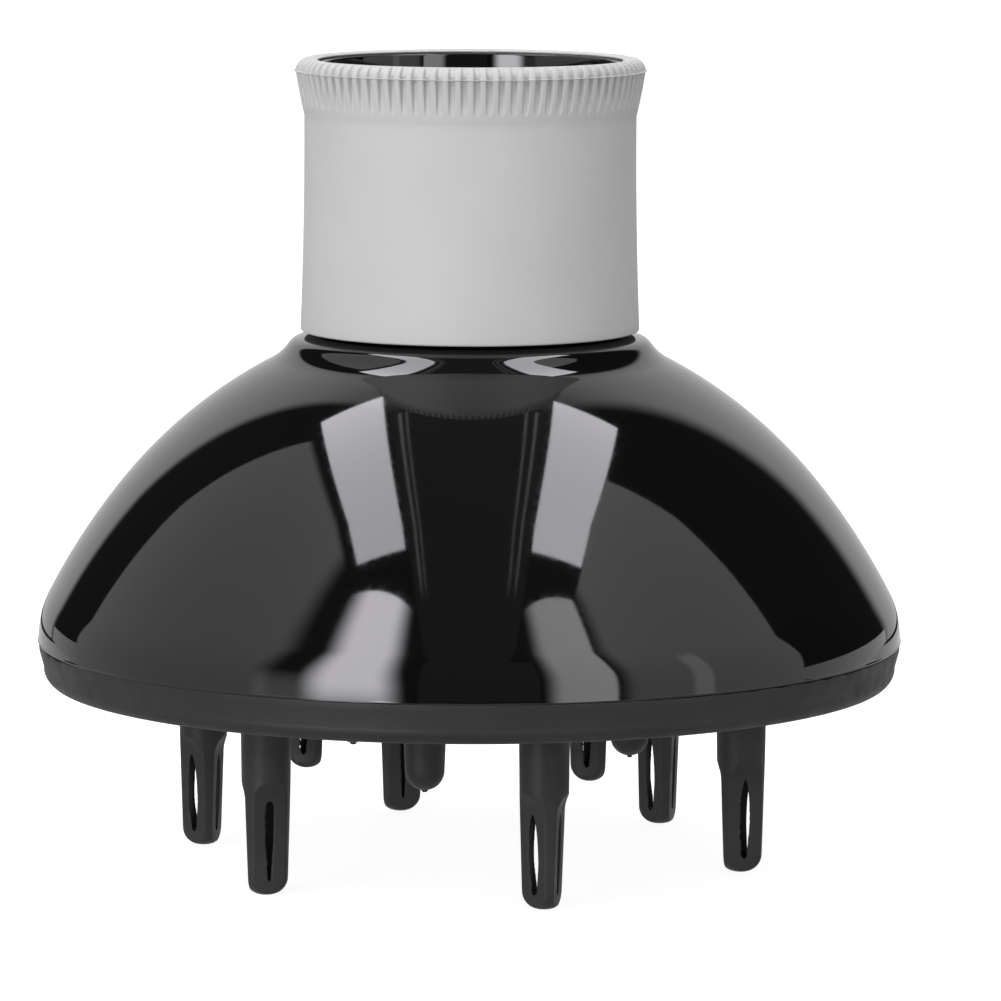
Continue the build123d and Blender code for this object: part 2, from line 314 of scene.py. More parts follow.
def make_sleeve():
    foot = [(SLEEVE_FOOT_RADIUS - SLEEVE_EDGE * (1 - sin(t)), SLEEVE_FOOT + SLEEVE_EDGE * (1 - cos(t)))
            for t in np.linspace(0, pi / 2, 8)]
    wall = three_point(foot[-1], (SLEEVE_MID, SLEEVE_MID_Z), (WAIST, BAND_FOOT), 30)
    middle = (between(WAIST, BAND, 0.5) + BAND_BULGE, between(BAND_FOOT, BAND_TOP, 0.5))
    edge = FLASH_HALF + 0.03
    band = three_point((WAIST, BAND_FOOT), middle, (BAND, BAND_TOP - edge), 40)
    flash_side = BAND + FLASH_SIDE * FLASH
    flash = [(flash_side, BAND_TOP - FLASH_HALF), (BAND + FLASH, BAND_TOP),
             (flash_side, BAND_TOP + FLASH_HALF)]
    crest = (LIP_CREST, SLEEVE_TOP)
    bulge = (between(LIP_CREST, BAND, LIP_BULGE), between(BAND_TOP, SLEEVE_TOP, LIP_BULGE))
    lip = three_point((BAND, BAND_TOP + edge), bulge, crest, 26)
    bulge = (between(LIP, LIP_CREST, CURL_BULGE), between(SLEEVE_TOP, LIP_FOOT, CURL_BULGE))
    curl = three_point(crest, bulge, (LIP, between(LIP_FOOT, SLEEVE_TOP, 0.5)), 9)
    outline = soften(
        [(SLEEVE_BORE, SLEEVE_FOOT, 0.3)]
        + plain(foot) + plain(wall[1:]) + plain(band[1:]) + plain(flash) + plain(lip) + plain(curl[1:])
        + [(LIP, LIP_FOOT, 0.12), (SLEEVE_BORE, LIP_FOOT, 0.2)])

    def push(angle, radius, z):
        outside = radius > SLEEVE_BORE + 0.3
        on_lip = z > BAND_TOP + FLASH_HALF
        on_flash = np.abs(z - BAND_TOP) <= FLASH_HALF
        # a groove opens at the waist, and closes again before the lip's crest
        band_depth = np.clip(radius - GROOVE_FLOOR, 0, None) * (z > BAND_FOOT)
        last = between(LIP_CREST, BAND, LIP_GROOVE_END)
        lip_depth = LIP_GROOVE * np.sqrt(np.clip((radius - last) / (BAND - last), 0, 1))
        depth = np.where(on_lip, lip_depth, band_depth) * outside
        depth = depth * (1 + GROOVE_UNEVEN * wave(angle, 3, first=7))
        share = (angle * RIBS / TURN) % 1
        away = np.abs(share - 0.5) / np.sqrt(np.clip(depth / GROOVE_END, 0.04, 1))
        groove = 1 - rise(away, GROOVE_HALF - GROOVE_SIDE, GROOVE_HALF)
        move = -depth * groove
        # the thin mould line keeps its height across the grooves
        uneven = 0.05 * wave(angle, 5, first=23) + 0.04 * wave(angle, 6, parts=9, first=61)
        move = np.where(on_flash, FLASH_DIP * move + uneven, move)
        # over the lip a groove's depth turns from inwards to downwards
        lean = np.clip((z - BAND_TOP) / (SLEEVE_TOP - BAND_TOP), 0, 1) * on_lip * pi / 2
        # soft walls are never quite round, and the lip's inner edge is a little torn on one side
        soft = OUT_OF_ROUND * wave(angle, 8, parts=3, first=1) * (z < BAND_FOOT) * outside
        side = hump(angle_from(angle, LIP_TORN_AT), 0, radians(LIP_TORN_HALF))
        torn = LIP_TORN * np.clip(wave(angle, 31, parts=9, first=53), -0.3, 1) * side
        inner_edge = hump(radius, LIP, 0.35) * (z > LIP_FOOT - 0.05)
        upwards = np.minimum(move * np.sin(lean), SLEEVE_TOP - z)
        return move * np.cos(lean) + soft - torn * inner_edge, upwards

    points, faces = turned(outline, rib_angles(), push)
    return piece("grip_sleeve_skin", points, faces, "sleeve", "sleeve", "grip_sleeve")


# ---------------------------------------------------------------- comb plate

SIXTH = 60.0              # angle after which the plate's pattern repeats
SEAM_GAP = 0.2
SEAM_OPEN = ((48, 24), (287, 9), (180, 50))   # where the seam gapes: angle and half width
SEAM_SHUT = 0.8           # how much of the gap is closed elsewhere
CHIP_IN = 0.12            # how far the torn edge moves inwards and downwards where the seam gapes
CHIP_DOWN = 0.22
SPIGOT = 75.4
INSIDE = 73.8             # the spigot's inner radius
RIM_FOOT = 75.4           # outer radius of the rim's flat foot
PLATE_EDGE_Z = 35.2       # underside of the plate at its edge
PLATE_RISE = 8.6          # how much higher it is in the middle
PLATE = 1.8               # the plate's thickness
JOIN = 71.8               # where the turned rim meets the pierced plate
JOIN_STEPS = 600
LONG_PHASE = 15.0         # angle of the first long finger, and of the first short one
SHORT_PHASE = 45.0
LONG_RING = 50.3          # radius of the ring that the long fingers stand on, and the short ones
SHORT_RING = 30.2
# ring, radius and angles of the vents in one sixth of the plate
VENT_ROWS = (
    (65.5, 3.2, (0, 12, 24, 36, 48)),
    (50.3, 3.5, (15, 30, 45)),
    (40.2, 2.7, (0, 20, 40)),
    (30.2, 3.0, (10, 50)),
    (19.0, 2.5, (0, 30)),
    (9.5, 2.4, (0,)),
)
CENTRE_VENT = 2.4
CORE_DRAFT = 0.9          # how much wider a finger's core is at its root
LONG_CORE = 2.4
SLOTTED_CORE = 2.05
PLAIN_CORE = 2.4
HOLE_ROUND = 0.45         # rounding of each hole's edges
HOLE_STEPS = 30
GRID = 2.6                # spacing of the points inside the plate
GRID_TO_HOLE = 0.9        # least distance from them to a hole's rounded edge, and to the join
GRID_TO_JOIN = 1.2
GRID_ROW = 0.866          # distance between the grid's rows, as a share of its spacing


def underside(radius):
    """Height of the plate's dished underside."""
    return PLATE_EDGE_Z + PLATE_RISE * (1 - (radius / INSIDE) ** 2)


def place(ring, angle):
    """The point (x, y) at an angle in degrees on a ring about the axis."""
    return np.array((ring * sin(radians(angle)), -ring * cos(radians(angle))))


def plate_holes():
    """(centre, radius) of every hole through the plate."""
    holes = [(np.zeros(2), CENTRE_VENT)]
    for sixth in range(6):
        turn = SIXTH * sixth
        for ring, size, angles in VENT_ROWS:
            holes += [(place(ring, LONG_PHASE + turn + angle), size) for angle in angles]
        holes.append((place(LONG_RING, LONG_PHASE + turn), LONG_CORE + CORE_DRAFT))
        core = PLAIN_CORE if sixth % 2 else SLOTTED_CORE
        holes.append((place(SHORT_RING, SHORT_PHASE + turn), core + CORE_DRAFT))
    return holes


def inner_spots(holes):
    """A triangular grid of points over the plate, clear of its holes and its edge."""
    count = int(JOIN / GRID) + 2
    spots = []
    for row in range(-count, count + 1):
        for column in range(-count, count + 1):
            spot = np.array((GRID * (column + 0.5 * (row % 2)), GRID * GRID_ROW * row))
            clear = all(np.linalg.norm(spot - c) > s + HOLE_ROUND + GRID_TO_HOLE for c, s in holes)
            if clear and np.linalg.norm(spot) < JOIN - GRID_TO_JOIN:
                spots.append(spot)
    return np.array(spots)


def flat_plate(holes, circle):
    """The plate as seen from above: points, and triangles that leave the holes open."""
    ring = steps_round(JOIN_STEPS)
    flat = [np.stack([JOIN * np.sin(ring), -JOIN * np.cos(ring)], 1)]
    edges = [(k, (k + 1) % JOIN_STEPS) for k in range(JOIN_STEPS)]
    total = JOIN_STEPS
    for centre, size in holes:
        flat.append(centre + (size + HOLE_ROUND) * circle)
        edges += [(total + k, total + (k + 1) % HOLE_STEPS) for k in range(HOLE_STEPS)]
        total += HOLE_STEPS
    flat = np.concatenate(flat + [inner_spots(holes)])
    made = geometry.delaunay_2d_cdt([Vector(p) for p in flat], edges, [], 0, 1e-6)
    flat = np.array([tuple(p) for p in made[0]])
    triangles = np.array(made[2])
    middle = flat[triangles].mean(1)
    keep = np.linalg.norm(middle, axis=1) < JOIN
    for centre, size in holes:
        keep &= np.linalg.norm(middle - centre, axis=1) > (size + HOLE_ROUND) * 0.99
    return flat, triangles[keep]


def pierced_plate():
    """Points and faces of the dished plate, with the edge of each hole rounded on both sides."""
    holes = plate_holes()
    spin = steps_round(HOLE_STEPS)
    circle = np.stack([np.cos(spin), np.sin(spin)], 1)
    flat, triangles = flat_plate(holes, circle)
    below = underside(np.linalg.norm(flat, axis=1))
    points = [np.column_stack([flat, below]), np.column_stack([flat, below + PLATE])]
    faces = [tuple(t) for t in triangles] + [tuple(t[::-1] + len(flat)) for t in triangles]
    total = 2 * len(flat)
    lip = [(HOLE_ROUND * (1 - sin(t)), HOLE_ROUND * (1 - cos(t))) for t in np.linspace(0, pi / 2, 5)]
    wall = lip + [(out, PLATE - depth) for out, depth in lip[::-1]]
    for centre, size in holes:
        for out, depth in wall:
            spots = centre + (size + out) * circle
            points.append(np.column_stack([spots, underside(np.linalg.norm(spots, axis=1)) + depth]))
        faces += ring_faces(total, len(wall), HOLE_STEPS)
        total += len(wall) * HOLE_STEPS
    return np.concatenate(points), faces


def make_comb():
    top = SEAM_Z - SEAM_GAP
    round_foot = three_point((COMB - 0.9, COMB_FOOT + 2.6), (RIM_FOOT + 0.65, COMB_FOOT + 0.6),
                             (RIM_FOOT, COMB_FOOT), 14)
    dish = [(x, underside(x)) for x in np.linspace(INSIDE - 0.4, JOIN, 4)]
    # the spigot ends level with the plate's middle, which is 1 mm higher than in the CAD solid
    outline = soften(
        plain([(x, z + PLATE) for x, z in dish[::-1]])
        + [(INSIDE, underside(INSIDE) + PLATE, 0.5), (INSIDE, COMB_TOP, 0.3), (SPIGOT, COMB_TOP, 0.3),
           (SPIGOT, top, 0.15), (COMB, top, 0.1), (COMB - 0.1, top - 1.2, 0)]
        + plain(round_foot)
        + [(INSIDE, COMB_FOOT, 0.5), (INSIDE, underside(INSIDE), 0.7)]
        + plain(dish))

    def push(angle, radius, z):
        # the seam is ragged and open in a few places, and nearly shut elsewhere
        edge = hump(radius, COMB, 0.35) * hump(z, top, 0.2)
        torn = wave(angle, 12, parts=8, first=9) + 0.5 * wave(angle, 14, parts=6, first=71)
        gape = np.zeros_like(angle)
        for side, half_width in SEAM_OPEN:
            gape = np.maximum(gape, hump(angle_from(angle, side), 0, radians(half_width)))
        shut = SEAM_SHUT * SEAM_GAP * (1 - gape) * (z > top - 0.3) * (radius > SPIGOT + 0.01)
        chips = edge * gape * np.clip(torn, -0.3, 1)
        return -CHIP_IN * chips, shut - CHIP_DOWN * chips

    rim_points, rim_faces = turned(outline[::-1], steps_round(JOIN_STEPS), push, closed=False)
    points, faces = pierced_plate()
    offset = len(points)
    faces += [tuple(index + offset for index in face) for face in rim_faces]
    points = np.concatenate([points, rim_points])
    return piece("comb_rim_and_plate", points, faces, "comb", "comb", "comb_plate", merge=0.004)


# ---------------------------------------------------------------- fingers

TIP_ROUND = 3.1
TIP_STEPS = 9
TIP_SKIN = 1.6            # thickness of the tip, under the hollow core
ROOT = 0.5                # how far a finger reaches into the plate
ROOT_FLARE = 1.4
FLARE_FOOT = 0.6          # how far below its top a finger begins to widen
SIDES = 3
HALF_SIDE = pi / SIDES
FLAT_COLUMNS = 7          # points from a slot's edge to the edge of its flat
ROUND_COLUMNS = 6         # and from there to the ridge between two flats
FLAT_SHARE = 0.61         # a flat's distance from the axis, as a share of the tip's radius
FLAT_RAMP = 3.4           # height of the round arch in which a flat ends
LEAST_EDGE = 0.16         # least angle kept between a slot's edge and the edge of its flat
CORE_SKIN = 0.25          # least wall between a flat and the core
FLAT_TAPER = 0.035        # how much further from the axis a flat stands with each millimetre of height
SLOT_FOOT = 2.5
SLOT_WAIST = 0.45         # share of the slot's height where it is widest
TORN_SIDE = 0.14          # how ragged the two edges of a slot are
CLEAN_SIDE = 0.03
SLOT_STEP = 0.28          # height between a finger's rows of points, along the slots
FLAT_STEP = 0.3           # the same, above the slots to where the flats end
SIDE_STEP = 1.2           # and from there to the root
ROOT_HEIGHT = 3.0
ROOT_STEPS = 12

LONG = {"ring": LONG_RING, "tip_z": 0.0, "tip": 3.85, "draft": 0.027, "upper_draft": 0.0135,
        "core": LONG_CORE, "slot_top": 16.9, "flat_top": 20.4}
SLOTTED = {"ring": SHORT_RING, "tip_z": SLOTTED_TIP, "tip": 3.42, "draft": 0.022, "upper_draft": 0.0135,
           "core": SLOTTED_CORE, "slot_top": 13.5, "flat_top": 17.0}
# half width of the widest part of the slots, finger by finger, for the inner, right and left slot.
# A narrow-footed finger has slots that are widest at the top.
LONG_SLOTS = ((1.19, 1.19, 1.19), (1.0, 1.0, 1.0), (1.1, 1.1, 1.1),
              (0.68, 0.68, 0.68), (1.23, 1.23, 1.23), (0.5, 0.6, 0.8))
SHORT_SLOTS = ((0.9, 0.8, 0.85), (0.8, 0.9, 0.8), (0.85, 0.8, 0.9))
NARROW_FOOTED = ("finger_long_4", "finger_long_6", "finger_slotted_2")


def flare(z, top):
    """Extra radius where a finger runs into the plate, and how far the point follows the dish."""
    share = np.clip((z - (top - FLARE_FOOT)) / (ROOT_FLARE + FLARE_FOOT), 0, 1)
    return ROOT_FLARE * (1 - np.sqrt(1 - 0.98 * share**2)), share


def round_end(distance, size):
    """0 at an end and 1 from size onwards, along a quarter circle."""
    share = np.clip(distance / size, 0, 1)
    return np.sqrt(1 - (1 - share) ** 2)


def slot_width(height, top, widest, narrow_foot):
    """Half the width of a slot at each height."""
    reach = (height - SLOT_FOOT) / (top - SLOT_FOOT)
    if narrow_foot:
        width = between(0.36, 1, rise(reach, -0.15, 0.7))
        ends = round_end(height - SLOT_FOOT, 0.45) * round_end(top - height, 1.5)
    else:
        width = between(0.58, 1, rise(reach, 0, SLOT_WAIST))
        above = np.clip((reach - SLOT_WAIST) / (1 - SLOT_WAIST), 0, 1)
        ends = round_end(height - SLOT_FOOT, 0.35) * (1 - above**2) ** 0.5
    return np.where((reach > 0) & (reach < 1), widest * width * ends, 0)


def finger_rows(length, slot_top, flat_top):
    """Heights above the tip, closer together along the slots."""
    ends = np.array((0.04, 0.12, 0.25, 0.45))
    rows = np.concatenate([
        np.arange(TIP_ROUND + 0.2, slot_top, SLOT_STEP), SLOT_FOOT + ends, slot_top - ends * 2.5,
        [slot_top], np.arange(slot_top + FLAT_STEP, flat_top + 2 * FLAT_STEP, FLAT_STEP),
        np.arange(flat_top + SIDE_STEP, length - ROOT_HEIGHT, SIDE_STEP),
        np.linspace(length - ROOT_HEIGHT, length, ROOT_STEPS)])
    rows = np.unique(np.round(rows, 3))
    return rows[rows > TIP_ROUND]


def finger_profile(kind, top):
    """Heights above the tip, and the radius, the flats' distance and the core's radius at each."""
    slot_top, flat_top = kind["slot_top"], kind["flat_top"]
    length = top - kind["tip_z"]
    turn = np.linspace(0, pi / 2, TIP_STEPS)
    rows = finger_rows(length, slot_top, flat_top)
    height = np.concatenate([TIP_ROUND * (1 - np.cos(turn)), rows])
    lower = np.minimum(rows, flat_top) - TIP_ROUND
    upper = np.maximum(rows - flat_top, 0)
    radius = np.concatenate([kind["tip"] - TIP_ROUND * (1 - np.sin(turn)),
                             kind["tip"] + kind["draft"] * lower + kind["upper_draft"] * upper])
    core = kind["core"] + CORE_DRAFT * height / length
    run_out = 1 - np.clip((height - flat_top + FLAT_RAMP) / FLAT_RAMP, 0, 1) ** 2
    cut = FLAT_SHARE * kind["tip"] + FLAT_TAPER * height
    flat = np.where(radius < cut, radius, radius - (radius - cut) * run_out)
    return height, radius, flat, core


def half_flat(radius, flat, core, width, inner_width):
    """Angles and radii from a slot's edge to the ridge, outside and inside, for every height."""
    nearest = np.minimum(flat, radius)
    start = np.arctan2(width, nearest)
    edge = np.maximum(np.arccos(np.clip(flat / radius, 0, 1)), start + LEAST_EDGE)
    on_flat = np.linspace(0, 1, FLAT_COLUMNS)[None, :]
    on_round = np.linspace(0, 1, ROUND_COLUMNS)[None, 1:]
    outside = np.concatenate([start + (edge - start) * on_flat, edge + (HALF_SIDE - edge) * on_round], 1)
    share = (outside - start) / (HALF_SIDE - start)
    inner_start = np.arcsin(np.clip(inner_width / core, 0, 0.95))
    inside = inner_start + (HALF_SIDE - inner_start) * share
    outer = np.minimum(radius, flat / np.cos(outside))
    inner = np.minimum(core, np.minimum(radius, flat / np.cos(inside)) - CORE_SKIN)
    return outside, outer, inside, inner


def slotted_finger(name, node, kind, angle, slots, seed):
    """A hollow finger with three flats. Each flat has a slot through to the core."""
    pick = np.random.default_rng(seed)
    tip_z = kind["tip_z"]
    top = underside(kind["ring"]) + ROOT
    height, radius, flat, core = finger_profile(kind, top)
    bump, follow = flare(height + tip_z, top)
    rows = len(height)
    everything = np.arange(rows)
    first_inner = TIP_STEPS - 1
    hollow = everything[first_inner:]
    columns = FLAT_COLUMNS + ROUND_COLUMNS - 1
    points, faces = [], []

    def put(spin, size, rows_used):
        """Adds a grid of points and gives the number of its first one."""
        start = sum(len(block) for block in points)
        z = np.repeat((height + tip_z)[rows_used, None], columns, 1)
        share = np.repeat(follow[rows_used, None], columns, 1)
        block = np.stack([size * np.sin(spin), -size * np.cos(spin), z, share], -1)
        points.append(block.reshape(-1, 4))
        return start

    for side, widest in enumerate(slots):
        middle = radians(angle) + pi + side * TURN / SIDES
        widest = widest * pick.uniform(0.96, 1.04)
        width = slot_width(height, kind["slot_top"], widest, name in NARROW_FOOTED)
        for sign, roughness in ((-1, TORN_SIDE), (1, CLEAN_SIDE)):
            ragged = pick.normal(0, 1, rows)
            torn = roughness * 0.5 * (ragged + np.roll(ragged, 1))
            share_open = np.minimum(1, width / 0.4)
            edge = np.clip(width + 0.25 * torn * share_open, 0, None)
            inner_edge = np.clip(width + (torn - 0.08) * share_open, 0, None)
            column = [values[:, None] for values in (radius, flat, core, edge, inner_edge)]
            outside, outer, inside, inner = half_flat(*column)
            a = put(middle + sign * outside, outer + bump[:, None], everything)
            b = put(middle + sign * inside[hollow], inner[hollow], hollow)
            faces += grid_faces(a, rows, columns) + grid_faces(b, len(hollow), columns)
            for row in hollow[:-1]:
                if width[row] > 0 or width[row + 1] > 0:
                    here = a + row * columns
                    deep = b + (row - first_inner) * columns
                    faces.append((here, here + columns, deep + columns, deep))
            outer_end = a + (rows - 1) * columns
            inner_end = b + (len(hollow) - 1) * columns
            for k in range(columns - 1):
                faces.append((outer_end + k, outer_end + k + 1, inner_end + k + 1, inner_end + k))
                faces.append(("tip", a + k, a + k + 1))
                faces.append(("floor", b + k, b + k + 1))
    total = sum(len(block) for block in points)
    points.append(np.array(((0, 0, tip_z, 0), (0, 0, tip_z + TIP_SKIN, 0))))
    ends = {"tip": total, "floor": total + 1}
    faces = [tuple(ends.get(corner, corner) for corner in face) for face in faces]
    return finish_finger(name, np.concatenate(points), faces, kind["ring"], angle, node)


def finish_finger(name, points, faces, ring, angle, node):
    """Moves a finger to its place on the plate and its root onto the dished underside."""
    follow = points[:, 3]
    points = points[:, :3].copy()
    points[:, :2] += place(ring, angle)
    radius = np.hypot(points[:, 0], points[:, 1])
    points[:, 2] += follow * (underside(radius) - underside(ring))
    return piece(name, points, faces, "comb", "fingers", node, merge=0.0008)


PLAIN_GATE = 0.4          # height of the stub that the gate left
PLAIN_GATE_RADIUS = 0.6
PLAIN_FLOOR = 5.0         # floor of the hollow core, above the tip
PLAIN_END = 3.5           # radius of the round end
PLAIN_ROOT = 4.3          # radius where the finger meets the plate
PLAIN_STEPS = 64
NEAR_AXIS = 0.02          # radius of the tiny hole that closes an end at the axis


def plain_finger(name, node, angle, seed):
    """A round-ended finger with the rough stub of its gate on the tip, hollow from above."""
    tip = PLAIN_TIP + PLAIN_GATE
    top = underside(SHORT_RING) + ROOT
    ball = [(PLAIN_END * sin(t), tip + PLAIN_END * (1 - cos(t)))
            for t in np.linspace(PLAIN_GATE_RADIUS / PLAIN_END * 1.3, pi / 2, 16)]
    root = top - ROOT_HEIGHT
    heights = np.concatenate([np.arange(tip + PLAIN_END + 1, root, SIDE_STEP), np.linspace(root, top, 10)])
    slope = (PLAIN_ROOT - PLAIN_END) / (SHORT_TOP - tip - PLAIN_END)
    bump, _ = flare(heights, top)
    side = [(PLAIN_END + slope * (z - tip - PLAIN_END) + b, z) for z, b in zip(heights, bump)]
    outline = soften(
        [(NEAR_AXIS, PLAIN_TIP, 0), (PLAIN_GATE_RADIUS * 0.6, PLAIN_TIP, 0.15),
         (PLAIN_GATE_RADIUS, tip + 0.06, 0.2)]
        + plain(ball) + plain(side)
        + [(PLAIN_CORE + CORE_DRAFT, top, 0), (PLAIN_CORE, PLAIN_TIP + PLAIN_FLOOR, 0.6),
           (NEAR_AXIS, PLAIN_TIP + PLAIN_FLOOR, 0)])

    def push(turn, radius, z):
        stub = (z < tip) * (radius > 0.1)
        sideways = 0.16 * wave(turn, seed, parts=4, first=1)
        upwards = 0.06 * (1 + wave(turn, seed + 1, parts=3, first=1))
        return stub * sideways, stub * upwards

    points, faces = turned(outline, steps_round(PLAIN_STEPS), push)
    _, follow = flare(points[:, 2], top)
    return finish_finger(name, np.column_stack([points, follow]), faces, SHORT_RING, angle, node)


def make_fingers():
    """Six long fingers, and six short ones on the inner ring, slotted and plain by turns."""
    made = []
    for sixth, slots in enumerate(LONG_SLOTS):
        number = sixth + 1
        made.append(slotted_finger(f"finger_long_{number}", f"long_finger_{number}", LONG,
                                   LONG_PHASE + SIXTH * sixth, slots, 40 + number))
    for third, slots in enumerate(SHORT_SLOTS):
        number = third + 1
        angle = SHORT_PHASE + 2 * SIXTH * third
        made.append(slotted_finger(f"finger_slotted_{number}", f"slotted_finger_{number}", SLOTTED,
                                   angle, slots, 60 + number))
        made.append(plain_finger(f"finger_plain_{number}", f"plain_finger_{number}", angle + SIXTH,
                                 80 + number))
    return made


# ---------------------------------------------------------------- materials

# darkest and lightest colour of each plastic
GLOSS_BLACK = ((0.0027, 0.0027, 0.0029), (0.0039, 0.0038, 0.0041))
ELASTOMER_GREY = ((0.485, 0.483, 0.482), (0.515, 0.513, 0.512))
COMB_CHARCOAL = ((0.011, 0.011, 0.0115), (0.017, 0.017, 0.0175))
FINGER_CHARCOAL = ((0.012, 0.012, 0.0125), (0.018, 0.018, 0.0185))


def material(name):
    made = bpy.data.materials.new(name)
    made.use_nodes = True
    tree = made.node_tree
    return made, tree, tree.nodes["Principled BSDF"]


def add_noise(tree, scale, detail=3.0, rough=0.5, distortion=0.0):
    """Noise in the object's own coordinates. Scale is in cycles per metre."""
    spot = tree.nodes.get("place") or tree.nodes.new("ShaderNodeTexCoord")
    spot.name = "place"
    noise = tree.nodes.new("ShaderNodeTexNoise")
    noise.inputs["Scale"].default_value = scale
    noise.inputs["Detail"].default_value = detail
    noise.inputs["Roughness"].default_value = rough
    noise.inputs["Distortion"].default_value = distortion
    tree.links.new(spot.outputs["Object"], noise.inputs["Vector"])
    return noise.outputs["Fac"]


def span(tree, source, lowest, highest, start=0.3, end=0.7, smooth=False):
    """Maps a value from start to end onto a range. Noise lies mostly between 0.3 and 0.7."""
    made = tree.nodes.new("ShaderNodeMapRange")
    made.interpolation_type = "SMOOTHSTEP" if smooth else "LINEAR"
    made.inputs["From Min"].default_value = start
    made.inputs["From Max"].default_value = end
    made.inputs["To Min"].default_value = lowest
    made.inputs["To Max"].default_value = highest
    tree.links.new(source, made.inputs["Value"])
    return made.outputs["Result"]


def reckon(tree, kind, *values):
    """A Math node. A value is a number or another node's output."""
    made = tree.nodes.new("ShaderNodeMath")
    made.operation = kind
    for socket, value in zip(made.inputs, values):
        if isinstance(value, (int, float)):
            socket.default_value = value
        else:
            tree.links.new(value, socket)
    return made.outputs["Value"]


def tint(tree, source, dark, light):
    """A colour between two, chosen by a value from 0 to 1."""
    mix = tree.nodes.new("ShaderNodeMix")
    mix.data_type = "RGBA"
    mix.inputs["A"].default_value = (*dark, 1)
    mix.inputs["B"].default_value = (*light, 1)
    tree.links.new(source, mix.inputs["Factor"])
    return mix.outputs["Result"]


def bumps(tree, shader, layers):
    """Chains bump nodes: (height source, strength, distance in millimetres)."""
    normal = None
    for source, strength, distance in layers:
        bump = tree.nodes.new("ShaderNodeBump")
        bump.inputs["Strength"].default_value = strength
        bump.inputs["Distance"].default_value = distance * MM
        tree.links.new(source, bump.inputs["Height"])
        if normal is not None:
            tree.links.new(normal, bump.inputs["Normal"])
        normal = bump.outputs["Normal"]
    tree.links.new(normal, shader.inputs["Normal"])


def gloss_black():
    made, tree, shader = material("gloss_black_plastic")
    cloud = add_noise(tree, 18, 2)
    haze = add_noise(tree, 900, 4)
    shader.inputs["IOR"].default_value = 1.5
    colour = tint(tree, span(tree, cloud, 0, 1), *GLOSS_BLACK)
    tree.links.new(colour, shader.inputs["Base Color"])
    tree.links.new(span(tree, haze, 0.03, 0.06), shader.inputs["Roughness"])
    bumps(tree, shader, [(cloud, 0.25, 0.22), (haze, 0.03, 0.01)])
    return made


def grey_elastomer():
    made, tree, shader = material("grey_elastomer")
    cloud = add_noise(tree, 55, 4)
    mottle = add_noise(tree, 600, 3)
    grain = add_noise(tree, 3200, 5, 0.6)
    shader.inputs["IOR"].default_value = 1.38
    colour = tint(tree, span(tree, cloud, 0, 1), *ELASTOMER_GREY)
    tree.links.new(colour, shader.inputs["Base Color"])
    tree.links.new(span(tree, mottle, 0.52, 0.66), shader.inputs["Roughness"])
    bumps(tree, shader, [(mottle, 0.12, 0.08), (grain, 0.25, 0.02)])
    return made


def matte_charcoal(name, dark, light):
    made, tree, shader = material(name)
    cloud = add_noise(tree, 70, 4)
    flow = add_noise(tree, 260, 3, distortion=0.4)
    grain = add_noise(tree, 2600, 4, 0.6)
    shader.inputs["IOR"].default_value = 1.36
    tree.links.new(tint(tree, span(tree, cloud, 0, 1), dark, light), shader.inputs["Base Color"])
    tree.links.new(span(tree, flow, 0.46, 0.62), shader.inputs["Roughness"])
    bumps(tree, shader, [(flow, 0.10, 0.10), (grain, 0.22, 0.02)])
    return made


def paint(thing, made):
    thing.data.materials.clear()
    thing.data.materials.append(made)


# ---------------------------------------------------------------- studio, in metres

CARD_CELLS = 10           # cells along each side of a card that isn't a plain rectangle
CARD_FOOT = -0.08
OVERHEAD = 1.0            # height of the strips and rails
SIDE = 0.9                # distances of the cards at the sides, at the back and in front
BACK = 1.2
FRONT = 1.15
BOX_TOP = 1.52
VIOLET = (1.0, 0.975, 1.03)
LEFT_END = 0.61           # where the tall side panels end, towards the back
RIGHT_END = 0.075
ROOM_GLOW = 0.09
GLOW_HALF = 0.36          # half the side of the glow on the floor

# side, ends across, ends along, radiance, and how much brighter the back end is
STRIPS = (
    ("left", -0.48, -0.26, -0.46, 0.44, 7.2, -0.05),
    ("right", 0.25, 0.48, -0.47, 0.395, 7.3, -0.16),
)
# middle across, width, radiance
RAILS = ((-0.215, 0.011, 0.90), (-0.194, 0.009, 0.60), (0.173, 0.009, 0.75), (0.204, 0.010, 0.85))
RAIL_FRONT = -0.72
RAIL_BACK = 0.27

FLOOR = 6.0
FLOOR_STEPS = 96
ROOM_TO_MATTE = 0.56      # the world's brightness, as matte surfaces, the camera and reflections see it
ROOM_TO_CAMERA = 1.0
ROOM_TO_GLOSS = 0.02

CAMERA_PLACE = (0, -1.12547, 0.20953)
CAMERA_LENS = 226.86      # in millimetres, as is the sensor's width
CAMERA_SENSOR = 36
PITCH = radians(7.3123)   # downwards
YAW = radians(0.2815)     # to the right
ROLL = radians(0.1628)


def around(distance, angle):
    """A point on the ground plan. Angle 0 is the front, -Y, and it grows towards +X."""
    return distance * sin(radians(angle)), -distance * cos(radians(angle))


def flat_mesh(name, corners, faces):
    mesh = bpy.data.meshes.new(name)
    mesh.from_pydata(corners, [], faces)
    thing = bpy.data.objects.new(name, mesh)
    bpy.context.scene.collection.objects.link(thing)
    return thing


